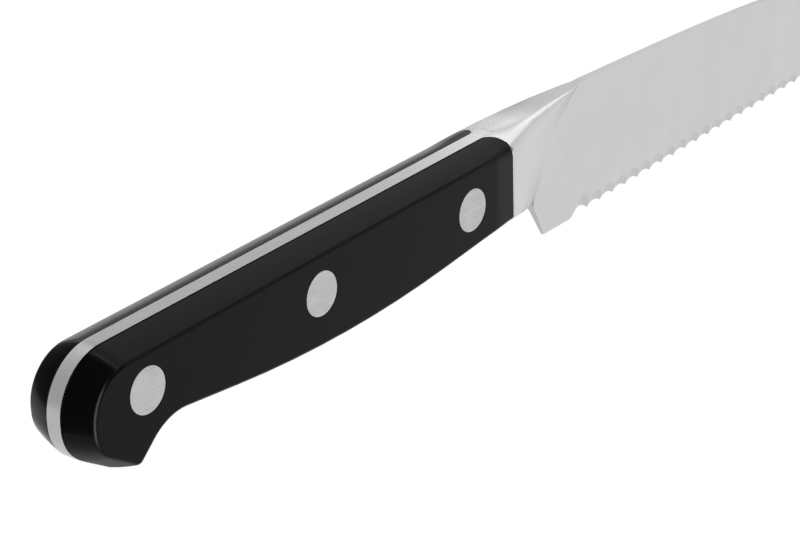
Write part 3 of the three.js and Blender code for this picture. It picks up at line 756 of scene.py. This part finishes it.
# Painted highlight: a grey rim where the sides turn backward to the butt, above the beak.
polymer.set(
    base_color=polymer.between(rear_edge * off_facet * above_beak, band_sheen, RIM_HIGHLIGHT_GREY),
    roughness=0.12 + 0.07 * grain + 0.04 * flow + 0.3 * underside,
    normal=polymer.bump(grain, GRAIN_DEPTH),
)

for side, node, form in (
    (1, "left_scale", (LEFT_SCALE_ROOF, LEFT_EDGE_RADIUS, LEFT_ROOF_ANGLE)),
    (-1, "right_scale", (RIGHT_SCALE_ROOF, RIGHT_EDGE_RADIUS, RIGHT_ROOF_ANGLE)),
):
    points, faces = scale_solid(*form)
    scale = make_piece(f"{node}_slab", points, faces, polymer.material, side, CREASE_ANGLE)
    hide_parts(node)

# Rivets: two-piece steel cutler's rivets, a headed stud pressed into a headed tube from the other side.
# Their heads sit in stepped holes and are ground flush with the scales, which leaves lengthwise scratches.
HEAD_THICKNESS = 1.4
HEAD_BEVEL = 0.1
BEVEL_ROUNDING = 0.3
SHANK_RADIUS = 2.3
SHANK_START = 0.2
SCRATCH_SLANT = math.radians(-5)
SCRATCH_DEPTH = 0.006
GROUND_STEEL = (0.3, 0.3, 0.298), (0.7, 0.7, 0.695)
BEVEL_STEEL = (0.75, 0.75, 0.745)


def rivet_half(centre, radius, face):
    """A head and half a shank, on the left side."""
    rounding = BEVEL_ROUNDING * HEAD_BEVEL
    profile = (
        (SHANK_RADIUS, SHANK_START),
        (SHANK_RADIUS, face - HEAD_THICKNESS),
        (radius, face - HEAD_THICKNESS),
        (radius, face - HEAD_BEVEL),
        (radius - rounding, face - rounding),
        (radius - HEAD_BEVEL, face),
    )
    points, faces = loft([circle(centre, r, y) for r, y in profile])
    return points, [face[::-1] for face in faces]


rivet_steel = Finish("rivet steel", metallic=1.0)
slanted = rivet_steel.node("ShaderNodeVectorRotate", {"rotation_type": "Y_AXIS"},
                           {"Vector": rivet_steel.place, "Angle": SCRATCH_SLANT})
scratches = rivet_steel.stretched_noise((0.25, 1, 9), detail=4, roughness=0.5, place=slanted)
smudges = rivet_steel.stretched_noise((0.4, 0.4, 0.4), detail=2)
head_faces = rivet_steel.facing("Y")
bevelled = rivet_steel.rise(head_faces * head_faces, 0.97, 0.85, smooth=False)
ground_head = rivet_steel.between(scratches * 0.7 + smudges * 0.3, *GROUND_STEEL)
rivet_steel.set(
    base_color=rivet_steel.between(bevelled, ground_head, BEVEL_STEEL),
    roughness=0.28 + 0.16 * scratches,
    normal=rivet_steel.bump(scratches, SCRATCH_DEPTH),
)

for rivet, place in rivet_places.items():
    points, faces = rivet_half(**place)
    for side, half in ((1, "tube"), (-1, "stud")):
        head = make_piece(f"{rivet}_{half}_head", points, faces, rivet_steel.material, side)
        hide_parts(f"{rivet}_rivet_{half}")

# Studio, in metres: a glowing white sweep under the knife, which ends a little behind its butt.
# Soft panels hang overhead, and boxes and cards stand on the left, at the front and behind on the right.
# The room round them is dim, and white only where the camera sees it.
FLOOR_REACH = 3.0
FLOOR_BACK = -0.145
FLOOR_DROP = 0.0004
WHITE = (1, 1, 1, 1)
BLACK = (0, 0, 0, 1)
ROOM_BRIGHTNESS = 0.15

floor_corners = (
    (FLOOR_BACK, -FLOOR_REACH, -FLOOR_DROP),
    (FLOOR_REACH, -FLOOR_REACH, -FLOOR_DROP),
    (FLOOR_REACH, FLOOR_REACH, -FLOOR_DROP),
    (FLOOR_BACK, FLOOR_REACH, -FLOOR_DROP),
)
floor_mesh = bpy.data.meshes.new("floor")
floor_mesh.from_pydata(floor_corners, [], [(0, 1, 2, 3)])
floor = bpy.data.objects.new("floor", floor_mesh)
bpy.context.scene.collection.objects.link(floor)
sweep = Finish("white sweep", base_color=BLACK, roughness=0.9, specular_ior_level=0.0,
               emission_color=WHITE, emission_strength=1.0)
floor_mesh.materials.append(sweep.material)


def soft_box(name, place, size, radiance, aim=None):
    """A soft light of even brightness, facing down unless it is aimed."""
    light = bpy.data.lights.new(name, "AREA")
    light.shape = "RECTANGLE"
    light.size, light.size_y = size
    light.energy = math.pi * size[0] * size[1] * radiance
    lamp = bpy.data.objects.new(name, light)
    lamp.location = place
    if aim:
        lamp.rotation_euler = (Vector(aim) - Vector(place)).to_track_quat("-Z", "Y").to_euler()
    lamp.visible_camera = False
    bpy.context.scene.collection.objects.link(lamp)


soft_box("overhead_panel", (0.8, -0.04, 0.9), (1.4, 1.12), 1.3)
soft_box("right_overhead_box", (0.5, -0.86, 0.9), (0.9, 0.52), 0.8)
soft_box("panel_edge_strip", (0.12, -0.1, 0.86), (0.05, 1.1), 3)
soft_box("left_overhead_box", (-0.07, 0.75, 0.83), (1.06, 0.66), 0.74, aim=(-0.07, 0, 0.83))
soft_box("left_back_box", (-1.0, 0.75, 0.55), (0.8, 1.2), 0.64, aim=(-1.0, 0, 0.55))
soft_box("left_low_box", (-1.0, 0.75, -0.5), (0.8, 0.9), 0.95, aim=(-1.0, 0, -0.5))
soft_box("front_left_card", (0.94, 0.33, 0.42), (0.66, 0.6), 1.05, aim=(0, 0, 0.42))
soft_box("left_card", (0.64, 0.77, 0.42), (0.44, 0.6), 0.58, aim=(0, 0, 0.42))
soft_box("front_right_card", (0.85, -0.55, 0.33), (0.9, 0.66), 0.8, aim=(0, 0, 0.33))
soft_box("rear_edge_card", (-0.45, -0.78, 0.15), (0.4, 0.7), 3, aim=(-0.1, 0, 0.15))

world = bpy.data.worlds.new("studio")
world.use_nodes = True
bpy.context.scene.world = world
studio_room = Nodes(world.node_tree)
world.node_tree.nodes.remove(world.node_tree.nodes["Background"])
dim = studio_room.node("ShaderNodeBackground", inputs={"Color": WHITE, "Strength": ROOM_BRIGHTNESS})
bright = studio_room.node("ShaderNodeBackground", inputs={"Color": WHITE})
seen = studio_room.node("ShaderNodeLightPath", output="Is Camera Ray")
backdrop = studio_room.node("ShaderNodeMixShader", inputs={"Fac": seen, 1: dim, 2: bright})
plug(world.node_tree, world.node_tree.nodes["World Output"].inputs["Surface"], backdrop)
bpy.context.scene.view_settings.view_transform = "Standard"

# Camera, in metres: behind the butt, above it and to its right, with a long lens, as in the photograph.
# Its place and angles were worked out from the rivets, the tang's strip and the row of teeth.
IMAGE_WIDTH = 800
FOCAL_PIXELS = 2574.8
SENSOR_WIDTH = 36
CLIP_START = 0.01
CAMERA_PLACE = (-0.32904, -0.22212, 0.17559)
AZIMUTH = math.radians(-51.81)
ELEVATION = math.radians(24.87)
ROLL = math.radians(-1.84)

camera_data = bpy.data.cameras.new("camera")
camera_data.sensor_width = SENSOR_WIDTH
camera_data.lens = FOCAL_PIXELS / IMAGE_WIDTH * SENSOR_WIDTH
camera_data.clip_start = CLIP_START
camera = bpy.data.objects.new("camera", camera_data)
camera_turn = (
    Matrix.Rotation(AZIMUTH, 4, "Z")
    @ Matrix.Rotation(math.pi / 2 - ELEVATION, 4, "X")
    @ Matrix.Rotation(ROLL, 4, "Z")
)
camera.matrix_world = Matrix.Translation(CAMERA_PLACE) @ camera_turn
bpy.context.scene.collection.objects.link(camera)
bpy.context.scene.camera = camera
